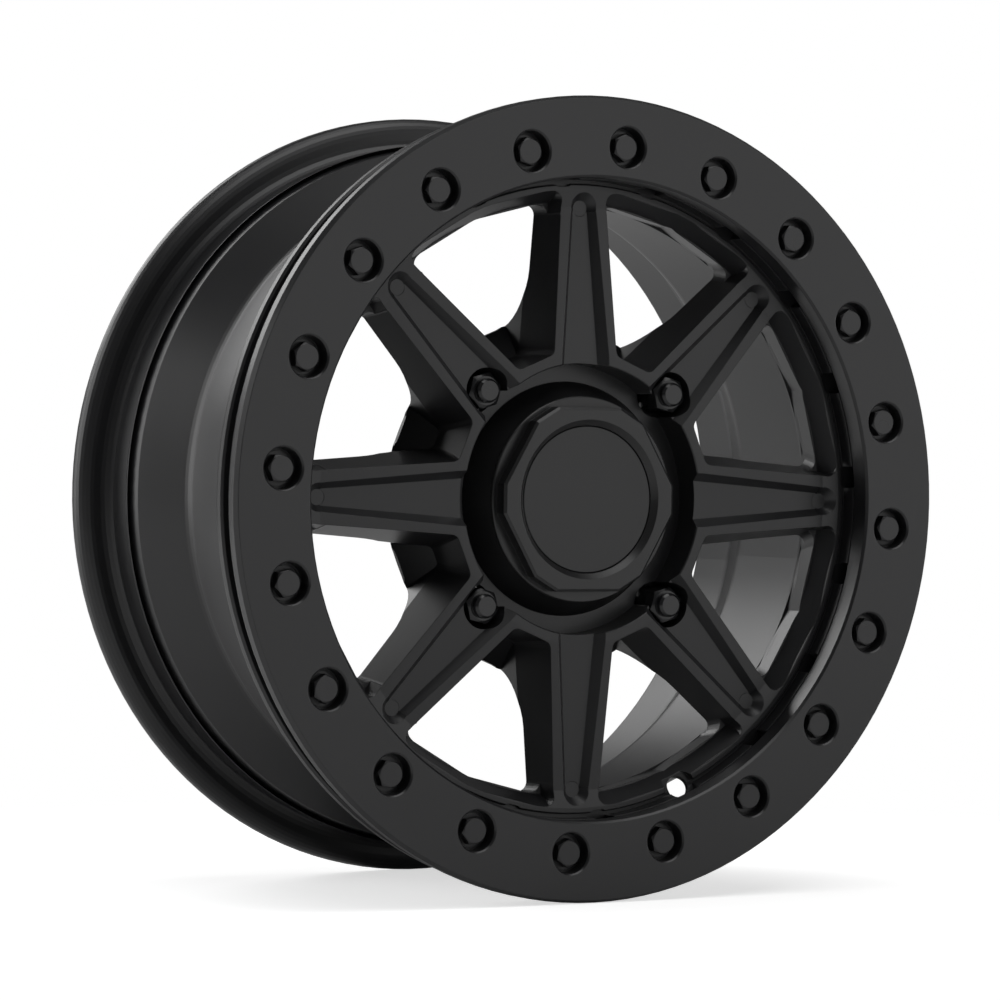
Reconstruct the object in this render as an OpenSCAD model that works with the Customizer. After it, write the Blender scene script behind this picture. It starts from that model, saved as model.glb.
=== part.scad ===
// Beadlock wheel for a side-by-side off-road vehicle, 15 x 7 inch, four lugs.
// The axle lies along Y: the outboard face looks to -Y and the mounting pad's face is the plane y = 0.
// Inside wheel_frame() the axle is Z, and a height is the depth inboard of the ring's front face.

/* [Rim] */
// Diameter of the bead seats
bead_seat_d = 380.2; // [360:0.2:400]
// Width between the ring's clamping face and the inboard flange
rim_w = 177.8; // [160:0.1:200]
// Mounting pad's distance outboard of the rim's centre line
offset = 38; // [30:1:45]
// Height of the inboard flange above the bead seat
flange_h = 17.4; // [14:0.1:20]
// Width of the inboard flange
flange_w = 12.5; // [11:0.1:15]
// Depth of the drop centre below the bead seat
well_drop = 18; // [14:0.5:22]
// Thickness of the barrel's wall
barrel_wall = 5.5; // [4.5:0.1:7]

/* [Beadlock] */
// Height of the ring's rim above the bead seat
ring_h = 17.4; // [16:0.1:20]
// Thickness of the ring where it clamps the bead
ring_edge_t = 10.5; // [8:0.1:11]
// Thickness of the ring at its bolts
ring_t = 12.5; // [12:0.1:14]
// Radius of the ring's bore
ring_bore_r = 165.5; // [164.5:0.1:167]
// Number of ring bolts
bolt_count = 20; // [16:4:20]
// Radius of the ring's bolt circle
bolt_circle_r = 182; // [179:0.5:184]
// Distance between the ring and the casting's flange, which holds the bead
bead_gap = 10.5; // [8:0.5:13]
// Thickness of the casting's outboard flange
lock_flange_t = 7; // [5:0.5:9]

/* [Ring bolts] */
// Diameter of the bolts
bolt_d = 8; // [6:0.5:8]
// Width of the hexagon head across its flats
bolt_af = 13; // [12:0.5:14]
// Height of the hexagon head
bolt_head_h = 5.5; // [4:0.1:6]
// Thread length below the ring
bolt_grip = 16; // [12:1:18]
// Diameter of the washers
washer_d = 17.6; // [16:0.1:18.5]
// Depth of the heads below the ring's face
head_sink = 1.9; // [0.3:0.1:2]
// Thickness of the washers
washer_t = 1.6; // [1:0.1:1.8]
// Diameter of the counterbores in the ring
counterbore_d = 21; // [20:0.1:22.5]
// Outside diameter of the threaded inserts
insert_d = 12; // [11:0.5:14]

/* [Spokes] */
// Depth of the spokes' front face at the hub
face_hub_t = 16; // [15:0.5:18]
// Depth of the spokes' front face at the rim
face_rim_t = 19; // [18:0.5:22]
// Width of a spoke at the hub
spoke_hub_w = 37.8; // [36:0.2:40]
// Width of a spoke at the rim
spoke_rim_w = 25.2; // [24:0.2:28]
// Lean of the spokes' side walls, which makes the back wider than the front
spoke_draft = 13; // [8:0.5:14]
// Width of the raised border along each side of a spoke
border_w = 4.9; // [4:0.1:6]
// Depth of the trough along a spoke at the hub
trough_t = 5.5; // [4:0.5:7]
// Depth of the trough at its rim end
trough_end_t = 4.2; // [3:0.1:5]
// Lean of the trough's side walls
trough_draft = 38; // [30:1:42]
// Depth of the spokes at the rim, from front to back
web_t = 21; // [20:0.5:26]
// Radius of the hollow curve from the back of the spokes to the mounting pad
web_arc_r = 30; // [28:1:40]
// Radius of the rounded corners of the windows
window_corner_r = 5; // [3:0.5:6]

/* [Hub] */
// Radius of the lug circle
lug_circle_r = 78; // [77:0.5:79]
// Diameter of the lug holes
lug_hole_d = 13; // [12.8:0.1:14]
// Radius of the lug pockets
lug_pocket_r = 11.8; // [11:0.1:12.5]
// Radius of the hub's bore
hub_bore_r = 66; // [65:0.1:67]
// Width of the ledge that holds the cap
cap_ledge_w = 5; // [4:0.1:6]
// Radius of the pocket round the cap
hub_pocket_r = 70.3; // [70:0.1:71]
// Depth of the pocket's floor
pocket_floor_t = 36; // [34:0.5:38]
// Thickness of the ledge that holds the cap
cap_ledge_t = 8; // [6:0.5:9]
// Radius of the mounting pad
pad_r = 92.5; // [91:0.5:95]

/* [Lug nuts] */
// Depth of the nuts' top ends
nut_top_t = 18.5; // [18:0.5:22]
// Width of the nut's hexagon across its flats
nut_af = 17; // [16:0.5:17.5]
// Diameter of the nut's round end
nut_end_d = 12.5; // [11:0.5:14]
// Diameter of the stud's thread
stud_d = 12; // [10:0.5:12]

/* [Cap] */
// Radius of the cap's round flange
cap_flange_r = 53.4; // [52:0.1:55]
// Depth of the front of the flange
cap_flange_t = 17.7; // [16.5:0.1:19]
// Height of the hexagon above the flange
cap_hex_h = 8; // [6:0.5:9]
// Width of the hexagon across its flats
cap_hex_af = 95; // [93:0.5:97]
// Width of the hexagon across its cut corners
cap_corner_af = 101; // [100:0.5:103]
// Radius of the dish at the front
cap_dish_r = 41.2; // [40.5:0.1:42]
// Depth of the dish
cap_dish_t = 3; // [2:0.5:4]
// Radius of the disc in the dish
cap_disc_r = 38.1; // [36:0.1:38.5]
// Thickness of the cap's walls
cap_wall = 3; // [2.5:0.1:3.5]
// Thickness of the wire of the spring ring
spring_wire_d = 2.4; // [2:0.1:2.6]

/* [Valve] */
// Diameter of the valve hole
valve_d = 11.5; // [11:0.1:12]
// Diameter of the flat pocket in front of the valve hole
valve_flat_d = 18; // [17:0.5:19]
// Thickness of the wall that holds the valve
valve_wall = 3; // [3:0.5:5]
// Slant of the valve hole away from the axle
valve_slant = 25; // [22:1:28]

/* [Hidden] */
$fn = 96;
eps = 0.01;
seam_turn = 11;

// Clearances
fit_gap = 0.05;
bolt_play = 0.5;
pocket_play = 0.25;
spring_play = 0.3;

// Edges
edge = 1.2;
fine_edge = 0.6;
head_edge = 0.4;
nut_edge = 1;

// Rim
bead_seat_r = bead_seat_d / 2;
flange_t = ring_edge_t + rim_w;
rim_end_t = flange_t + flange_w;
pad_t = ring_edge_t + rim_w / 2 - offset;
flange_r = bead_seat_r + flange_h;
well_r = bead_seat_r - well_drop;
lock_t = ring_edge_t + bead_gap;
lip_t = 6.5;
seat_w = 18;
seat_taper = 5;
hump_h = 1.6;
hump_w = 7;
well_front_t = lock_t + lock_flange_t + 24;
well_rear_t = flange_t - 64;
hump_t = flange_t - seat_w - 2 * hump_w;

// Beadlock
ring_r = bead_seat_r + ring_h;
ring_bevel_t = 3;
ring_bevel_w = 1.5;
lock_flange_r = ring_r - 2.2;
register_r = bead_seat_r - 0.5;
counterbore_t = head_sink + bolt_head_h + washer_t;
counterbore_edge = 0.85;
bolt_pitch = 360 / bolt_count;
bolt_turn = bolt_pitch / 4;
insert_t = bolt_grip + 2;
shank_t = ring_t + bolt_grip;
washer_bore_r = bolt_d / 2 + 0.25;

// Rim band inside the ring
groove_w = 2.2;
groove_t = face_rim_t + 2.5;
band_w = 3;
land_inner_r = ring_bore_r - 0.3;
band_outer_r = land_inner_r - groove_w;
band_inner_r = band_outer_r - band_w;
wall_neck = 6;
wall_neck_r = band_inner_r - wall_neck;
wall_neck_t = face_rim_t + 11;
web_rear_t = face_rim_t + web_t;
barrel_start_t = well_front_t + 14;
valley_r = wall_neck_r + 8;
lock_rear_t = ring_t + insert_t + 5;
notch_w = 11.5;
notch_reach = 15;
notch_corner_r = 3.5;

// Spokes
spoke_count = 8;
lug_count = 4;
spoke_pitch = 360 / spoke_count;
spoke_hub_r = hub_pocket_r + 5;
spoke_end_r = wall_neck_r - window_corner_r - 0.5;
face_dip = 1.2;
dip_r = band_inner_r - 9;
edge_turn = atan((spoke_half(0, face_hub_t) - spoke_half(band_inner_r, face_hub_t)) / band_inner_r);
pad_edge = 1;
web_rise = pad_t - pad_edge - web_rear_t;
web_arc_turn = acos(1 - web_rise / web_arc_r);

// Windows
window_inner_r = hub_pocket_r + 5.4;
window_deep_t = web_rear_t + 3;
window_start_r = hub_pocket_r;
flare_start_r = window_inner_r + 1.8;
flare_end_r = pad_r + 2.2;
pad_window_r = pad_r - 0.8;
pad_corner_r = 9;

// Troughs
trough_end_r = band_inner_r - 2;
border_flare = 1;
trough_end_w = spoke_w(dip_r) / 2 - border_w - border_flare;
trough_hub_w = spoke_w(hub_pocket_r) / 2 - border_w;
trough_turn_r = trough_end_r - trough_end_w;

// Pockets in the mounting pad
pad_pocket_t = 11;
pad_pocket_l = 34;
pad_pocket_corner_r = 4;
pad_pocket_wall = 4.5;

// Lug seats
cap_ledge_r = hub_bore_r - cap_ledge_w;
bore_relief = 0.8;
bore_edge = 1;
seat_t = pocket_floor_t + cap_ledge_t + 1;
cone_angle = 30;
nut_cone_r = nut_af / 2;
cone_t = (nut_cone_r - lug_hole_d / 2) / tan(cone_angle);
nut_end_t = 4;

// Cap
skirt_top_r = cap_flange_r - 1.4;
plug_r = cap_ledge_r - pocket_play;
plug_t = pocket_floor_t + cap_ledge_t + spring_play + spring_wire_d + 2;
spring_t = pocket_floor_t + cap_ledge_t + spring_play + spring_wire_d / 2;
bore_start_t = plug_t + 1.3;
spring_r = cap_ledge_r - spring_wire_d / 2 + 1.1;
cap_front_t = cap_flange_t - cap_hex_h;
leg_count = 6;
leg_gap = 8;
disc_t = 2;

// Valve
valve_angle = 3.5 * spoke_pitch;
valve_sight_play = 0.3;
valve_start_t = groove_t;
valve_start_r = ring_bore_r - valve_sight_play - (valve_d / 2) / cos(valve_slant)
  + (valve_start_t - ring_t) * tan(valve_slant);
valve_well_d = 30;
valve_well_in = valve_d / 2 + 0.25;

function polar(r, a) = [r * cos(a), r * sin(a)];
function arc(c, r, a0, a1, n = 5) = [for (i = [0:n]) c + polar(r, a0 + (a1 - a0) * i / n)];
function spoke_w(r) = spoke_hub_w
  + (spoke_rim_w - spoke_hub_w) * (r - spoke_hub_r) / (band_inner_r - spoke_hub_r);
function face_t(r) = face_hub_t
  + (face_rim_t + face_dip - face_hub_t) * (r - spoke_hub_r) / (dip_r - spoke_hub_r);

// Half the width of a spoke at a depth: the side walls' leaning planes meet the front face at its own width
function spoke_half(r, t) = spoke_w(r) / 2
  + (t - face_hub_t - (face_rim_t - face_hub_t) * r / band_inner_r) * tan(spoke_draft);

// Turns the axle from Z to Y and puts the mounting pad at y = 0
module wheel_frame() {
  rotate([-90, 0, 0]) translate([0, 0, -pad_t]) children();
}

// Points X at an angle that runs clockwise from the top, as seen from the front
module clock(angle) {
  rotate([0, 0, angle - 90]) children();
}

module on_bolts() {
  for (i = [0:bolt_count - 1]) clock(bolt_turn + i * bolt_pitch) translate([bolt_circle_r, 0, 0]) children();
}

module on_lugs() {
  for (i = [0:lug_count - 1]) clock((i + 0.5) * 360 / lug_count) translate([lug_circle_r, 0, 0]) children();
}

// Revolves an outline, with its seam clear of the spokes
module lathe() {
  rotate([0, 0, seam_turn]) rotate_extrude() children();
}

module hexagon(af, height, top_edge) {
  intersection() {
    cylinder(d = af / cos(30), h = height, $fn = 6);
    cylinder(r1 = af / 2 - top_edge, r2 = af / 2 - top_edge + height * 1.7, h = height);
  }
}

// Outside of the barrel from the outboard flange to the inboard lip
module barrel_outside() {
  polygon(concat(
    [[land_inner_r, ring_t], [register_r, ring_t], [register_r, lock_t - 2]],
    arc([register_r + 2, lock_t - 2], 2, 180, 90, 3),
    [[lock_flange_r - edge, lock_t], [lock_flange_r, lock_t + edge]],
    arc([lock_flange_r - 2.5, lock_t + lock_flange_t - 2.5], 2.5, 0, 60, 3),
    [[bead_seat_r + 5, lock_t + lock_flange_t + 3], [bead_seat_r - 2, lock_rear_t]],
    arc([valley_r + 8, lock_rear_t + 8], 8, 270, 180, 4),
    [[valley_r, well_front_t - 7], [well_r - 0.8, well_front_t + 6], [well_r, well_front_t + 9]],
    arc([well_r + 12, well_rear_t], 12, 180, 150, 3),
    [[bead_seat_r - 1.5, hump_t]],
    arc([bead_seat_r + hump_h - hump_w, hump_t + hump_w], hump_w, 40, -5, 4),
    [[bead_seat_r - seat_w * tan(seat_taper), flange_t - seat_w], [bead_seat_r - 0.5, flange_t - 6]],
    arc([bead_seat_r + 5.5, flange_t - 6], 6, 180, 90, 4),
    arc([flange_r - 8, flange_t + 8], 8, 270, 360, 6),
    arc([flange_r - 3, rim_end_t - 3], 3, 0, 90, 4),
    [[flange_r - 6, rim_end_t], [bead_seat_r + 5, flange_t + lip_t], [0, flange_t + lip_t], [0, ring_t]]
  ));
}

// Hollow through the rim, open to the spokes and narrowest behind their face
module barrel_inside() {
  inner_r = well_r - barrel_wall;
  seat_inner_r = bead_seat_r - seat_w * tan(seat_taper) - barrel_wall + 1;
  polygon(concat(
    [
      [0, -eps], [land_inner_r, -eps], [land_inner_r, groove_t], [band_outer_r, groove_t],
      [band_outer_r, face_rim_t + fine_edge], [band_outer_r - fine_edge, face_rim_t],
      [band_inner_r, face_rim_t],
      [dip_r, face_rim_t + face_dip], [spoke_end_r, face_t(spoke_end_r)], [spoke_end_r, web_rear_t],
      [wall_neck_r, web_rear_t], [wall_neck_r, web_rear_t + 3]
    ],
    arc([inner_r - 14, well_front_t + 12], 14, -50, 0, 4),
    arc([inner_r + 12, well_rear_t - 2], 12, 180, 150, 3),
    arc([seat_inner_r - 12, hump_t + 6], 12, -30, 0, 3),
    [[seat_inner_r, rim_end_t - 8], [seat_inner_r + 3, rim_end_t + eps], [0, rim_end_t + eps]]
  ));
}

// Section of the barrel between two depths
module barrel_section(from_t, to_t) {
  intersection() {
    difference() {
      barrel_outside();
      barrel_inside();
    }
    translate([0, from_t]) square([2 * ring_r, to_t - from_t]);
  }
}

// Hub and spokes as a full disc, before the windows are cut
module spoke_disc() {
  polygon(concat(
    [
      [0, face_hub_t], [spoke_hub_r, face_hub_t], [spoke_end_r, face_t(spoke_end_r)],
      [spoke_end_r, web_rear_t]
    ],
    arc(
      [pad_r + web_arc_r * sin(web_arc_turn), web_rear_t + web_arc_r], web_arc_r,
      270, 270 - web_arc_turn, 8
    ),
    [[pad_r - pad_edge, pad_t], [0, pad_t]]
  ));
}

// One window between two spokes as a flat outline, with spokes as wide as at a depth
module window_outline(inner_r, outer_r, depth_t, corner_r) {
  far_r = outer_r + 10;
  offset(r = corner_r, $fn = 24) offset(delta = -corner_r) intersection() {
    circle(r = outer_r);
    translate([inner_r, -far_r]) square([far_r, 2 * far_r]);
    polygon([
      for (p = [[window_start_r, -1], [far_r, -1], [far_r, 1], [window_start_r, 1]])
        polar(p[0], p[1] * spoke_pitch / 2) - polar(spoke_half(p[0], depth_t), p[1] * (spoke_pitch / 2 + 90))
    ]);
  }
}

// Turns the window's shape about the edge of the spoke on one side, so that its wall there leans
module lean(side) {
  edge_w = spoke_half(0, face_hub_t);
  rotate([0, 0, side * spoke_pitch / 2]) translate([0, -side * edge_w, face_hub_t])
    rotate([0, 0, side * edge_turn]) rotate([side * spoke_draft, 0, 0]) rotate([0, 0, -side * edge_turn])
      translate([0, side * edge_w, -face_hub_t]) rotate([0, 0, -side * spoke_pitch / 2]) children();
}

// Windows with both side walls leaning, as deep as the spokes' web
module leaning_windows(outer_r) {
  for (i = [0:spoke_count - 1]) clock((i + 0.5) * spoke_pitch) intersection() {
    lean(1) translate([0, 0, -pad_t / 2]) linear_extrude(height = 2 * pad_t) {
      window_outline(window_inner_r, outer_r, face_hub_t, window_corner_r);
    }
    lean(-1) translate([0, 0, -pad_t / 2]) linear_extrude(height = 2 * pad_t) {
      window_outline(window_inner_r, outer_r, face_hub_t, window_corner_r);
    }
  }
}

// Windows through the web: at the back the hub flares out to the mounting pad
module windows() {
  intersection() {
    leaning_windows(wall_neck_r - 1);
    cylinder(r = band_inner_r, h = window_deep_t + eps);
  }
  difference() {
    translate([0, 0, window_deep_t]) linear_extrude(height = pad_t) {
      for (i = [0:spoke_count - 1]) clock((i + 0.5) * spoke_pitch) {
        window_outline(flare_start_r, wall_neck_r, window_deep_t, window_corner_r);
      }
    }
    lathe() polygon([
      [0, window_deep_t - 1], [flare_start_r, window_deep_t - 1], [flare_start_r, window_deep_t],
      [flare_end_r, pad_t], [flare_end_r, pad_t + eps], [0, pad_t + eps]
    ]);
  }
  translate([0, 0, window_deep_t]) linear_extrude(height = pad_t) {
    for (i = [0:spoke_count - 1]) clock((i + 0.5) * spoke_pitch) {
      window_outline(pad_window_r, wall_neck_r, window_deep_t, pad_corner_r);
    }
  }
}

// Wider mouth of the windows at the rim, which narrows with depth
module window_mouths() {
  intersection() {
    leaning_windows(band_inner_r);
    lathe() polygon([
      [0, ring_t], [band_inner_r + 1, ring_t], [band_inner_r, face_rim_t], [wall_neck_r, wall_neck_t],
      [0, wall_neck_t]
    ]);
  }
}

// One leaning side wall of a trough, as the space inside it
module trough_side(side) {
  run = trough_turn_r - hub_pocket_r;
  turn = atan((trough_hub_w - trough_end_w) / run);
  fall = atan((face_t(trough_turn_r) - face_t(hub_pocket_r)) / run);
  translate([hub_pocket_r, side * trough_hub_w, face_t(hub_pocket_r)]) rotate([0, 0, -side * turn])
    rotate([0, -fall, 0]) rotate([side * trough_draft, 0, 0]) {
      translate([-25, side > 0 ? -60 : 0, -30]) cube([run + 25, 60, 60]);
    }
}

// Trough along the front of a spoke with leaning walls, a flat floor and a round end at the rim
module trough() {
  run = trough_turn_r - hub_pocket_r;
  floor_hub_t = face_t(hub_pocket_r) + trough_t;
  floor_end_t = face_t(trough_turn_r) + trough_end_t;
  fall = atan((floor_end_t - floor_hub_t) / run);
  intersection() {
    trough_side(1);
    trough_side(-1);
    translate([hub_pocket_r, -30, floor_hub_t]) rotate([0, -fall, 0]) translate([-25, 0, -20]) {
      cube([run + 25, 60, 20]);
    }
  }
  translate([trough_turn_r, 0, floor_end_t]) rotate([180, 0, seam_turn]) {
    cylinder(
      r1 = trough_end_w - trough_end_t * tan(trough_draft),
      r2 = trough_end_w + trough_end_t * tan(trough_draft),
      h = 2 * trough_end_t
    );
  }
}

// Lightening pocket in the mounting pad, between two lugs
module pad_pocket() {
  inner_r = hub_bore_r + bore_relief + pad_pocket_wall;
  outer_r = pad_r - pad_pocket_wall - 2;
  translate([inner_r, -pad_pocket_l / 2, pad_t - pad_pocket_t]) linear_extrude(height = pad_pocket_t + 1) {
    offset(r = pad_pocket_corner_r, $fn = 24) offset(delta = -pad_pocket_corner_r) {
      square([outer_r - inner_r, pad_pocket_l]);
    }
  }
}

// Slots in the inner edge of the ring's land, one between each two bolts
module notches() {
  for (i = [0:bolt_count - 1]) {
    angle = bolt_turn + (i + 0.5) * bolt_pitch;
    if (abs(angle - valve_angle) > 1) clock(angle) {
      translate([band_inner_r + 1.8, -notch_w / 2, ring_t - 1]) {
        linear_extrude(height = groove_t - ring_t + 1) offset(r = notch_corner_r, $fn = 24) {
          offset(delta = -notch_corner_r) square([notch_reach, notch_w]);
        }
      }
    }
  }
}

// Slanted valve hole with a flat pocket in front and a wide well behind, where the stem's foot sits
module valve_hole() {
  well_l = lock_rear_t - valve_start_t + 4;
  clock(valve_angle) translate([valve_start_r, 0, valve_start_t]) rotate([0, valve_slant, 0]) {
    rotate([0, 0, seam_turn]) {
      translate([0, 0, -10]) cylinder(d = valve_d, h = 20);
      translate([0, 0, -30]) cylinder(d = valve_flat_d, h = 30);
    }
    intersection() {
      rotate([0, 0, seam_turn]) translate([0, 0, valve_wall]) cylinder(d = valve_well_d, h = well_l);
      translate([-valve_well_in, -valve_well_d, valve_wall - 1]) {
        cube([valve_well_d, 2 * valve_well_d, well_l + 2]);
      }
    }
  }
}

module lug_seat() {
  rotate([0, 0, seam_turn]) {
    translate([0, 0, face_hub_t - 4]) cylinder(r = lug_pocket_r, h = seat_t - face_hub_t + 4);
    translate([0, 0, seat_t - eps]) cylinder(r1 = nut_cone_r, r2 = lug_hole_d / 2, h = cone_t);
    translate([0, 0, seat_t]) cylinder(d = lug_hole_d, h = pad_t - seat_t + 1);
  }
}

// Pocket for the cap, ledge for its legs and bore for the vehicle's hub
module hub_hollow() {
  ledge_rear_t = pocket_floor_t + cap_ledge_t;
  lathe() polygon([
    [0, face_hub_t - 1], [hub_pocket_r + fine_edge + 1, face_hub_t - 1],
    [hub_pocket_r, face_hub_t + fine_edge],
    [hub_pocket_r, pocket_floor_t], [cap_ledge_r, pocket_floor_t], [cap_ledge_r, ledge_rear_t],
    [hub_bore_r + bore_relief, ledge_rear_t], [hub_bore_r + bore_relief, bore_start_t - bore_relief],
    [hub_bore_r, bore_start_t], [hub_bore_r, pad_t - bore_edge], [hub_bore_r + bore_edge + 1, pad_t + 1],
    [0, pad_t + 1]
  ]);
}

// Hub and spokes of the casting
module wheel_casting() {
  color("#2a2a2c") wheel_frame() difference() {
    lathe() spoke_disc();
    windows();
    hub_hollow();
    for (i = [0:spoke_count - 1]) clock(i * spoke_pitch) trough();
    for (i = [0:lug_count - 1]) clock(i * 360 / lug_count) pad_pocket();
    on_lugs() lug_seat();
  }
}

// Rim band, land for the ring and outboard flange of the casting
module rim_front() {
  color("#2a2a2c") wheel_frame() difference() {
    lathe() barrel_section(0, barrel_start_t);
    windows();
    window_mouths();
    for (i = [0:spoke_count - 1]) clock(i * spoke_pitch) trough();
    on_bolts() translate([0, 0, ring_t - 1]) cylinder(d = insert_d, h = insert_t + 2);
    notches();
    valve_hole();
  }
}

// Drop centre, inboard bead seat and flange of the casting
module rim_barrel() {
  color("#2a2a2c") wheel_frame() lathe() barrel_section(barrel_start_t, rim_end_t + 1);
}

module beadlock_ring() {
  step_r = bead_seat_r - 1;
  color("#303032") wheel_frame() difference() {
    lathe() polygon(concat(
      [[ring_bore_r + edge, 0], [ring_r - ring_bevel_w, 0], [ring_r, ring_bevel_t]],
      arc([ring_r - 3, ring_edge_t - 3], 3, 0, 90, 3),
      [[step_r + 1, ring_edge_t], [step_r, ring_t], [ring_bore_r + fine_edge, ring_t],
       [ring_bore_r, ring_t - fine_edge], [ring_bore_r, edge]]
    ));
    on_bolts() {
      translate([0, 0, -1]) cylinder(d = counterbore_d, h = counterbore_t + 1);
      translate([0, 0, -eps]) {
        cylinder(r1 = counterbore_d / 2 + counterbore_edge, r2 = counterbore_d / 2, h = counterbore_edge);
      }
      cylinder(d = bolt_d + 2 * bolt_play, h = ring_t + 1);
    }
  }
}

module ring_bolts() {
  head_t = counterbore_t - washer_t - bolt_head_h;
  color("#1c1c1e") wheel_frame() on_bolts() {
    translate([0, 0, head_t]) hexagon(bolt_af, bolt_head_h, head_edge);
    translate([0, 0, head_t + bolt_head_h - eps]) {
      cylinder(d = bolt_d - 2 * fit_gap, h = shank_t - head_t - bolt_head_h + eps);
    }
  }
}

module ring_washers() {
  color("#232325") wheel_frame() on_bolts() translate([0, 0, counterbore_t - washer_t]) difference() {
    cylinder(d = washer_d, h = washer_t);
    translate([0, 0, -1]) cylinder(r = washer_bore_r, h = washer_t + 2);
  }
}

module thread_inserts() {
  color("#9a9a98") wheel_frame() on_bolts() translate([0, 0, ring_t + 0.5]) difference() {
    cylinder(d = insert_d - 2 * fit_gap, h = insert_t);
    translate([0, 0, -1]) cylinder(d = bolt_d, h = insert_t + 2);
  }
}

module lug_nuts() {
  hex_t = seat_t - nut_top_t - nut_end_t;
  color("#1a1a1c") wheel_frame() on_lugs() difference() {
    union() {
      translate([0, 0, nut_top_t]) {
        cylinder(d1 = nut_end_d - 2 * edge, d2 = nut_end_d, h = edge);
        translate([0, 0, edge]) cylinder(d = nut_end_d, h = nut_end_t - edge + 1);
      }
      translate([0, 0, nut_top_t + nut_end_t]) hexagon(nut_af, hex_t, nut_edge);
      translate([0, 0, seat_t - eps]) {
        cylinder(r1 = nut_cone_r - fit_gap, r2 = lug_hole_d / 2 - fit_gap, h = cone_t);
      }
    }
    translate([0, 0, nut_top_t + 5]) cylinder(d = stud_d, h = pad_t);
  }
}

module cap_outline(af, corner_af) {
  intersection() {
    circle(d = af / cos(30), $fn = 6);
    rotate(30) circle(d = corner_af / cos(30), $fn = 6);
  }
}

module center_cap() {
  skirt_slope = (plug_r - skirt_top_r) / (pocket_floor_t - cap_flange_t - 1.5);
  color("#252527") wheel_frame() difference() {
    union() {
      rotate_extrude() polygon([
        [0, cap_flange_t], [cap_flange_r - fine_edge, cap_flange_t], [cap_flange_r, cap_flange_t + fine_edge],
        [cap_flange_r, cap_flange_t + 1.5], [skirt_top_r, cap_flange_t + 1.5], [plug_r, pocket_floor_t],
        [plug_r, plug_t - 1.5], [plug_r - 1.5, plug_t], [0, plug_t]
      ]);
      translate([0, 0, cap_front_t + edge]) {
        linear_extrude(height = cap_hex_h - edge + 1) cap_outline(cap_hex_af, cap_corner_af);
      }
      translate([0, 0, cap_front_t + edge]) rotate([180, 0, 0]) linear_extrude(height = edge, scale = 0.972) {
        cap_outline(cap_hex_af, cap_corner_af);
      }
    }
    rotate_extrude() polygon([
      [0, cap_front_t - 1], [cap_dish_r, cap_front_t - 1], [cap_dish_r, cap_front_t],
      [cap_disc_r + 0.4, cap_front_t + cap_dish_t], [cap_disc_r + pocket_play, cap_front_t + cap_dish_t],
      [cap_disc_r + pocket_play, cap_front_t + cap_dish_t + disc_t], [0, cap_front_t + cap_dish_t + disc_t]
    ]);
    rotate_extrude() polygon([
      [0, cap_front_t + cap_dish_t + disc_t + cap_wall],
      [cap_disc_r + 4, cap_front_t + cap_dish_t + disc_t + cap_wall],
      [skirt_top_r - cap_wall - 1, cap_flange_t + cap_wall],
      [plug_r - cap_wall - 0.5, pocket_floor_t], [plug_r - cap_wall - 0.5, plug_t + 1], [0, plug_t + 1]
    ]);
    rotate_extrude() translate([spring_r, spring_t]) circle(d = spring_wire_d + 2 * fit_gap, $fn = 24);
    for (i = [0:leg_count - 1]) rotate(i * 360 / leg_count) {
      translate([plug_r - cap_wall - 4, -leg_gap / 2, pocket_floor_t + cap_ledge_t / 2]) {
        cube([12, leg_gap, plug_t]);
      }
    }
  }
}

module cap_disc() {
  color("#202022") wheel_frame() translate([0, 0, cap_front_t + cap_dish_t]) rotate_extrude() polygon([
    [0, 0], [cap_disc_r - fine_edge, 0], [cap_disc_r, fine_edge], [cap_disc_r, disc_t], [0, disc_t]
  ]);
}

module cap_spring_ring() {
  color("#8e8f92") wheel_frame() rotate_extrude(start = 20, angle = 340) {
    translate([spring_r, spring_t]) circle(d = spring_wire_d, $fn = 24);
  }
}

wheel_casting();
rim_front();
rim_barrel();
beadlock_ring();
ring_bolts();
ring_washers();
thread_inserts();
lug_nuts();
center_cap();
cap_disc();
cap_spring_ring();
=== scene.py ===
"""Looks of a cast off-road beadlock wheel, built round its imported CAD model.

The axle lies along Y with the outboard face to -Y, Z points up, and lengths are metres.
The origin is the centre of the face that bolts to the vehicle's hub.
"""
import logging
import math
from dataclasses import dataclass, field
from enum import Enum
from typing import ClassVar

import bpy
from mathutils import Matrix, Vector


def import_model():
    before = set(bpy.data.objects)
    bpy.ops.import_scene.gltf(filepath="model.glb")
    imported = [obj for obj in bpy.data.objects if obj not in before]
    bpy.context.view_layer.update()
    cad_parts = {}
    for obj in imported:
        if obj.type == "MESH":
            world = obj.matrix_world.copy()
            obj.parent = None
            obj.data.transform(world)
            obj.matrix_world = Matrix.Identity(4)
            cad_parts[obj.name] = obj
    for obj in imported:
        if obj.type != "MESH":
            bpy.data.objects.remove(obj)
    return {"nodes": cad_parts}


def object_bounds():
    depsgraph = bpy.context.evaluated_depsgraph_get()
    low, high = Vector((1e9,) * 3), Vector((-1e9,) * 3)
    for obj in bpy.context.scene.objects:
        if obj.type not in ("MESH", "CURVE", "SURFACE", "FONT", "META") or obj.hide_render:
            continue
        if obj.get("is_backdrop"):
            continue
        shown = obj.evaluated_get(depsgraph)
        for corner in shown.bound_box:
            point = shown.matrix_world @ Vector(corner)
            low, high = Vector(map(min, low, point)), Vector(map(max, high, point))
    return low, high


LOG = logging.getLogger("beadlock_wheel")
MM = 0.001
WHITE = (1.0, 1.0, 1.0, 1.0)

# Where the nodes of the one-piece casting meet, and how far round a join its edges stay sharp
SPOKE_JOIN_R = 0.1485
BARREL_JOIN_Y = 0.0046
JOIN_REACH = 0.0009


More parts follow.
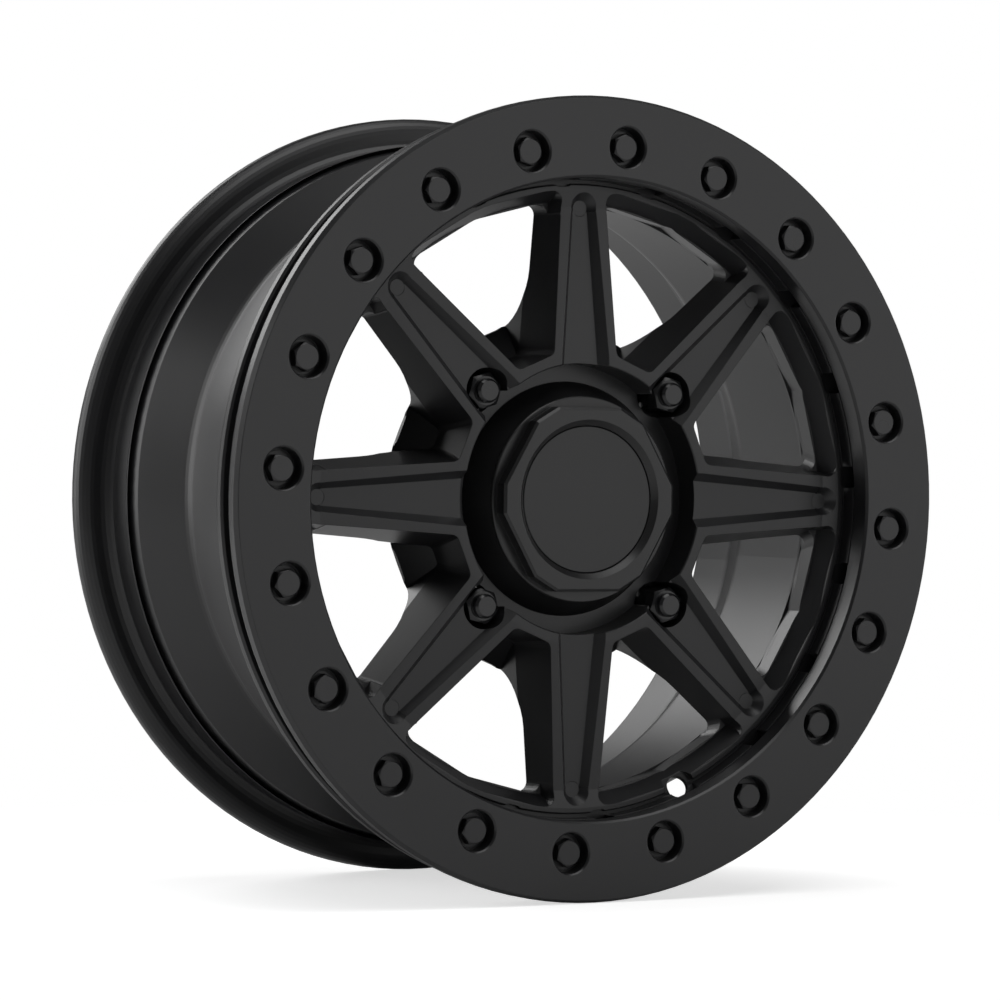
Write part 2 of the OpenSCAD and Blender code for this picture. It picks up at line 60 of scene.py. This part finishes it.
class Node(Enum):
    """CAD nodes of the wheel, by the piece that each one is."""

    CASTING = "wheel_casting"
    RIM_FRONT = "rim_front"
    RIM_BARREL = "rim_barrel"
    RING = "beadlock_ring"
    RING_BOLTS = "ring_bolts"
    WASHERS = "ring_washers"
    INSERTS = "thread_inserts"
    LUG_NUTS = "lug_nuts"
    CAP = "center_cap"
    CAP_DISC = "cap_disc"
    SPRING_RING = "cap_spring_ring"


@dataclass(frozen=True)
class CoatedFinish:
    """A pigmented coat or bare metal with a fine grain.

    Attributes:
        name: Name of the material.
        color: Linear red, green and blue of the surface.
        roughness: Mean roughness of the surface.
        roughness_swing: How far the roughness strays either way.
        grain_mm: Size of the grain in millimetres.
        grain_height_mm: Height of the grain in millimetres.
        edge_mm: Radius at which sharp edges catch the light, in millimetres.
        metallic: Share of bare metal in the surface.
        joins: Whether the piece is kept as several nodes, whose joins show no edge.
    """

    MOTTLE_SCALE: ClassVar[float] = 14.0
    MOTTLE_DETAIL: ClassVar[float] = 4.0
    MOTTLE_RANGE: ClassVar[tuple[float, float]] = (0.3, 0.7)
    MOTTLE_TONES: ClassVar[tuple[float, float]] = (0.88, 1.12)
    GRAIN_DETAIL: ClassVar[float] = 2.0
    EDGE_SAMPLES: ClassVar[int] = 4

    name: str
    color: tuple[float, float, float]
    roughness: float
    roughness_swing: float = 0.05
    grain_mm: float = 0.5
    grain_height_mm: float = 0.02
    edge_mm: float = 0.6
    metallic: float = 0.0
    joins: bool = False

    def build(self) -> bpy.types.Material:
        """Makes the material's nodes.

        Returns:
            The finished material.
        """
        material = bpy.data.materials.new(self.name)
        material.use_nodes = True
        tree = material.node_tree
        shader = tree.nodes["Principled BSDF"]
        place = tree.nodes.new("ShaderNodeTexCoord")
        shader.inputs["Metallic"].default_value = self.metallic
        self.add_mottle(tree, shader, place)
        self.add_grain(tree, shader, place)
        return material

    def add_mottle(self, tree: bpy.types.NodeTree, shader: bpy.types.Node, place: bpy.types.Node) -> None:
        """Lets the tone and the gloss stray a little over the surface.

        Args:
            tree: The material's node tree.
            shader: The surface's shader.
            place: The node that gives the place on the object.
        """
        nodes, links = tree.nodes, tree.links
        mottle = nodes.new("ShaderNodeTexNoise")
        mottle.inputs["Scale"].default_value = self.MOTTLE_SCALE
        mottle.inputs["Detail"].default_value = self.MOTTLE_DETAIL
        links.new(place.outputs["Object"], mottle.inputs["Vector"])

        tone = nodes.new("ShaderNodeValToRGB")
        for stop, position, share in zip(tone.color_ramp.elements, self.MOTTLE_RANGE, self.MOTTLE_TONES):
            stop.position = position
            stop.color = (*(min(1.0, share * channel) for channel in self.color), 1.0)
        links.new(mottle.outputs["Fac"], tone.inputs["Fac"])
        links.new(tone.outputs["Color"], shader.inputs["Base Color"])

        gloss = nodes.new("ShaderNodeMapRange")
        gloss.inputs["To Min"].default_value = self.roughness - self.roughness_swing
        gloss.inputs["To Max"].default_value = self.roughness + self.roughness_swing
        links.new(mottle.outputs["Fac"], gloss.inputs["Value"])
        links.new(gloss.outputs["Result"], shader.inputs["Roughness"])

    def add_grain(self, tree: bpy.types.NodeTree, shader: bpy.types.Node, place: bpy.types.Node) -> None:
        """Gives the surface its fine grain and its rounded edges.

        Args:
            tree: The material's node tree.
            shader: The surface's shader.
            place: The node that gives the place on the object.
        """
        nodes, links = tree.nodes, tree.links
        grain = nodes.new("ShaderNodeTexNoise")
        grain.inputs["Scale"].default_value = 1.0 / (self.grain_mm * MM)
        grain.inputs["Detail"].default_value = self.GRAIN_DETAIL
        links.new(place.outputs["Object"], grain.inputs["Vector"])

        edge = nodes.new("ShaderNodeBevel")
        edge.samples = self.EDGE_SAMPLES
        edge.inputs["Radius"].default_value = self.edge_mm * MM
        rounded = edge.outputs["Normal"]
        if self.joins:
            rounded = self.leave_joins_sharp(tree, place, rounded)

        relief = nodes.new("ShaderNodeBump")
        relief.inputs["Strength"].default_value = 1.0
        relief.inputs["Distance"].default_value = self.grain_height_mm * MM
        links.new(grain.outputs["Fac"], relief.inputs["Height"])
        links.new(rounded, relief.inputs["Normal"])
        links.new(relief.outputs["Normal"], shader.inputs["Normal"])

    def leave_joins_sharp(self, tree: bpy.types.NodeTree, place: bpy.types.Node,
                          rounded: bpy.types.NodeSocket) -> bpy.types.NodeSocket:
        """Takes the rounding off near the casting's joins, where a round edge would draw a line.

        Args:
            tree: The material's node tree.
            place: The node that gives the place on the object.
            rounded: The socket that holds the rounded normal.

        Returns:
            The socket that holds the normal to use.
        """
        nodes, links = tree.nodes, tree.links
        split = nodes.new("ShaderNodeSeparateXYZ")
        links.new(place.outputs["Object"], split.inputs["Vector"])
        flat = nodes.new("ShaderNodeCombineXYZ")
        links.new(split.outputs["X"], flat.inputs["X"])
        links.new(split.outputs["Z"], flat.inputs["Z"])
        radius = nodes.new("ShaderNodeVectorMath")
        radius.operation = "LENGTH"
        links.new(flat.outputs["Vector"], radius.inputs[0])

        either = nodes.new("ShaderNodeMath")
        either.operation = "MAXIMUM"
        measures = ((radius.outputs["Value"], SPOKE_JOIN_R), (split.outputs["Y"], BARREL_JOIN_Y))
        for side, (measure, join) in zip(either.inputs, measures):
            near = nodes.new("ShaderNodeMath")
            near.operation = "COMPARE"
            near.inputs[1].default_value = join
            near.inputs[2].default_value = JOIN_REACH
            links.new(measure, near.inputs[0])
            links.new(near.outputs["Value"], side)

        plain = nodes.new("ShaderNodeNewGeometry")
        pick = nodes.new("ShaderNodeMix")
        pick.data_type = "VECTOR"
        links.new(either.outputs["Value"], pick.inputs["Factor"])
        links.new(rounded, pick.inputs["A"])
        links.new(plain.outputs["Normal"], pick.inputs["B"])
        return pick.outputs["Result"]


CASTING_COAT = CoatedFinish(
    "casting_powder_coat", (0.0125, 0.0125, 0.0135), 0.35, grain_mm=0.7, grain_height_mm=0.014,
    joins=True)
RING_COAT = CoatedFinish(
    "ring_powder_coat", (0.0125, 0.0125, 0.0135), 0.31, grain_mm=0.6, grain_height_mm=0.012)
BOLT_COAT = CoatedFinish(
    "bolt_black_zinc", (0.012, 0.012, 0.013), 0.26, grain_mm=0.4, grain_height_mm=0.008, edge_mm=0.3)
WASHER_COAT = CoatedFinish("washer_black_zinc", (0.014, 0.014, 0.015), 0.36, edge_mm=0.2)
INSERT_STEEL = CoatedFinish("insert_steel", (0.5, 0.5, 0.49), 0.35, edge_mm=0.2, metallic=1.0)
NUT_COAT = CoatedFinish(
    "nut_black_chrome", (0.012, 0.012, 0.013), 0.2, grain_mm=0.4, grain_height_mm=0.006, edge_mm=0.4)
CAP_PLASTIC = CoatedFinish(
    "cap_satin_plastic", (0.0125, 0.0125, 0.013), 0.31, grain_mm=0.5, grain_height_mm=0.01, edge_mm=0.5)
DISC_PLASTIC = CoatedFinish(
    "disc_satin_plastic", (0.012, 0.012, 0.0125), 0.33, grain_mm=0.5, grain_height_mm=0.01, edge_mm=0.3)


def direction(azimuth: float, elevation: float) -> Vector:
    """Points away from the wheel at two angles.

    Args:
        azimuth: Angle round the wheel, in degrees from -Y towards +X.
        elevation: Angle above the axle, in degrees.

    Returns:
        A vector of length 1.
    """
    turn, lift = math.radians(azimuth), math.radians(elevation)
    return Vector((math.sin(turn) * math.cos(lift), -math.cos(turn) * math.cos(lift), math.sin(lift)))


@dataclass(frozen=True)
class Softbox:
    """A square soft light that faces the wheel.

    Attributes:
        name: Name of the light.
        azimuth: Its angle round the wheel, in degrees from -Y towards +X.
        elevation: Its angle above the axle, in degrees.
        distance: Its distance from the wheel's centre, in metres.
        size: Length of its side, in metres.
        glow: Brightness of its face, where 1 is white.
    """

    name: str
    azimuth: float
    elevation: float
    distance: float
    size: float
    glow: float

    def hang(self) -> None:
        """Adds the light to the scene."""
        data = bpy.data.lights.new(self.name, "AREA")
        data.size = self.size
        data.energy = self.glow * math.pi * self.size * self.size
        lamp = bpy.data.objects.new(self.name, data)
        aim = direction(self.azimuth, self.elevation)
        lamp.location = aim * self.distance
        lamp.rotation_euler = aim.to_track_quat("Z", "Y").to_euler()
        bpy.context.scene.collection.objects.link(lamp)


@dataclass
class PhotoCamera:
    """The camera that the photograph's circles gave.

    Attributes:
        azimuth: Its angle round the wheel, in degrees from -Y.
        elevation: Its angle above the axle, in degrees.
        roll: Its roll, in degrees.
        distance: Its distance in metres.
        focal_px: Its focal length in pixels of the frame.
        frame_px: Width of the frame in pixels.
        sensor_mm: Width of its sensor in millimetres.
        aim_right: Aim point's offset to the camera's right, in metres.
        aim_up: Aim point's offset upwards, in metres.
        aim_depth: Place along the axle that the aim point lies at, in metres.
        clip: Nearest and farthest distance that it sees, in metres.
    """

    azimuth: float = -29.432
    elevation: float = 0.526
    roll: float = 0.739
    distance: float = 2.1873
    focal_px: float = 4253.0
    frame_px: float = 1000.0
    sensor_mm: float = 36.0
    aim_right: float = -0.04959
    aim_up: float = -0.00081
    aim_depth: float = -0.0580
    clip: tuple[float, float] = (0.05, 50.0)

    def build(self) -> None:
        """Adds the camera and makes it the scene's own."""
        back = direction(self.azimuth, self.elevation)
        yaw, roll = math.radians(self.azimuth), math.radians(self.roll)
        flat_right = Vector((math.cos(yaw), math.sin(yaw), 0.0))
        flat_up = back.cross(flat_right)
        right = flat_right * math.cos(roll) + flat_up * math.sin(roll)
        up = back.cross(right)
        place = flat_right * self.aim_right + flat_up * self.aim_up + back * self.distance
        place.y += self.aim_depth
        data = bpy.data.cameras.new("photo_camera")
        data.sensor_width = self.sensor_mm
        data.lens = self.focal_px * self.sensor_mm / self.frame_px
        data.clip_start, data.clip_end = self.clip
        camera = bpy.data.objects.new("photo_camera", data)
        turn = Matrix((right, up, back)).transposed().to_4x4()
        camera.matrix_world = Matrix.Translation(place) @ turn
        bpy.context.scene.collection.objects.link(camera)
        bpy.context.scene.camera = camera


@dataclass
class Floor:
    """White floor that keeps the wheel's shadow and melts into the background.

    Attributes:
        side: Length of its side, in metres.
        paint: Share of light that it throws back.
        roughness: Roughness of its paint.
        gloss: Specular level of its paint.
        lift: White that it adds for the camera.
        fade_start: Radius at which it starts to melt into the background, in metres.
        fade_end: Radius past which it is all background, in metres.
    """

    side: float = 60.0
    paint: float = 0.9
    roughness: float = 0.7
    gloss: float = 0.1
    lift: float = 0.62
    fade_start: float = 0.27
    fade_end: float = 0.6

    def build(self, height: float) -> None:
        """Lays the floor.

        Args:
            height: Its height in metres.
        """
        bpy.ops.object.select_all(action="DESELECT")
        bpy.ops.mesh.primitive_plane_add(size=self.side, location=(0.0, 0.0, height))
        floor = bpy.context.active_object
        floor.name = "studio_floor"
        floor.data.materials.append(self.material())
        floor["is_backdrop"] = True

    def material(self) -> bpy.types.Material:
        """Makes the floor's material.

        Returns:
            Matt white, with more white for the camera and pure white far out.
        """
        material = bpy.data.materials.new("floor_white")
        material.use_nodes = True
        nodes = material.node_tree.nodes
        links = material.node_tree.links
        matt = nodes["Principled BSDF"]
        matt.inputs["Base Color"].default_value = (self.paint, self.paint, self.paint, 1.0)
        matt.inputs["Roughness"].default_value = self.roughness
        matt.inputs["Specular IOR Level"].default_value = self.gloss

        lift = nodes.new("ShaderNodeEmission")
        lift.inputs["Strength"].default_value = self.lift
        near = nodes.new("ShaderNodeAddShader")
        links.new(matt.outputs["BSDF"], near.inputs[0])
        links.new(lift.outputs["Emission"], near.inputs[1])

        place = nodes.new("ShaderNodeTexCoord")
        reach = nodes.new("ShaderNodeVectorMath")
        reach.operation = "LENGTH"
        links.new(place.outputs["Object"], reach.inputs[0])
        fade = nodes.new("ShaderNodeMapRange")
        fade.interpolation_type = "SMOOTHSTEP"
        fade.inputs["From Min"].default_value = self.fade_start
        fade.inputs["From Max"].default_value = self.fade_end
        links.new(reach.outputs["Value"], fade.inputs["Value"])

        far = nodes.new("ShaderNodeEmission")
        far.inputs["Strength"].default_value = 1.0
        melt = nodes.new("ShaderNodeMixShader")
        links.new(fade.outputs["Result"], melt.inputs["Fac"])
        links.new(near.outputs["Shader"], melt.inputs[1])
        links.new(far.outputs["Emission"], melt.inputs[2])

        path = nodes.new("ShaderNodeLightPath")
        seen = nodes.new("ShaderNodeMixShader")
        links.new(path.outputs["Is Camera Ray"], seen.inputs["Fac"])
        links.new(matt.outputs["BSDF"], seen.inputs[1])
        links.new(melt.outputs["Shader"], seen.inputs[2])
        links.new(seen.outputs["Shader"], nodes["Material Output"].inputs["Surface"])
        return material


@dataclass
class Studio:
    """White studio with soft lights and the camera at the photograph's angle.

    Attributes:
        surround: Brightness of the room round the lights.
        softboxes: The lights.
    """

    surround: float = 0.11
    softboxes: tuple[Softbox, ...] = (
        Softbox("front_right", azimuth=32.0, elevation=4.0, distance=2.4, size=2.0, glow=0.94),
        Softbox("overhead", azimuth=20.0, elevation=75.0, distance=2.2, size=2.0, glow=1.9),
        Softbox("rear_left", azimuth=-124.0, elevation=16.0, distance=2.4, size=1.8, glow=2.4),
        Softbox("rear_top", azimuth=-166.0, elevation=30.0, distance=2.5, size=1.3, glow=3.0),
        Softbox("right", azimuth=88.0, elevation=6.0, distance=2.4, size=1.0, glow=2.4),
    )

    def world(self) -> None:
        """Surrounds the wheel with even light, and shows white to the camera."""
        world = bpy.data.worlds.new("studio_white")
        world.use_nodes = True
        nodes = world.node_tree.nodes
        links = world.node_tree.links
        lit = nodes["Background"]
        lit.inputs["Color"].default_value = WHITE
        lit.inputs["Strength"].default_value = self.surround
        seen = nodes.new("ShaderNodeBackground")
        seen.inputs["Color"].default_value = WHITE
        seen.inputs["Strength"].default_value = 1.0
        path = nodes.new("ShaderNodeLightPath")
        mix = nodes.new("ShaderNodeMixShader")
        links.new(path.outputs["Is Camera Ray"], mix.inputs["Fac"])
        links.new(lit.outputs["Background"], mix.inputs[1])
        links.new(seen.outputs["Background"], mix.inputs[2])
        links.new(mix.outputs["Shader"], nodes["World Output"].inputs["Surface"])
        bpy.context.scene.world = world

    def build(self, floor_height: float) -> None:
        """Sets up the whole studio.

        Args:
            floor_height: Height of the floor in metres.
        """
        PhotoCamera().build()
        for softbox in self.softboxes:
            softbox.hang()
        self.world()
        Floor().build(floor_height)
        bpy.context.scene.view_settings.view_transform = "Standard"
        LOG.info("studio ready, floor at %.4f m", floor_height)


@dataclass
class CadPieces:
    """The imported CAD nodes, each with its own finish.

    Attributes:
        nodes: The nodes' objects by name.
        finishes: The finish of each node.
    """

    nodes: dict[str, bpy.types.Object]
    finishes: dict[Node, CoatedFinish] = field(default_factory=lambda: {
        Node.CASTING: CASTING_COAT,
        Node.RIM_FRONT: CASTING_COAT,
        Node.RIM_BARREL: CASTING_COAT,
        Node.RING: RING_COAT,
        Node.RING_BOLTS: BOLT_COAT,
        Node.WASHERS: WASHER_COAT,
        Node.INSERTS: INSERT_STEEL,
        Node.LUG_NUTS: NUT_COAT,
        Node.CAP: CAP_PLASTIC,
        Node.CAP_DISC: DISC_PLASTIC,
        Node.SPRING_RING: INSERT_STEEL,
    })

    def build(self) -> None:
        """Gives every face of each node the node's finish."""
        made: dict[str, bpy.types.Material] = {}
        for node, finish in self.finishes.items():
            if finish.name not in made:
                made[finish.name] = finish.build()
            materials = self.nodes[node.value].data.materials
            materials.clear()
            materials.append(made[finish.name])
            LOG.info("dressed %s in %s", node.value, finish.name)


def main() -> None:
    """Builds the studio and the wheel's looks."""
    logging.basicConfig(level=logging.INFO, format="%(name)s: %(message)s")
    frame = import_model()
    cad_box = [list(corner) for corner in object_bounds()]
    Studio().build(cad_box[0][2])
    CadPieces(frame["nodes"]).build()


if __name__ == "__main__":
    main()
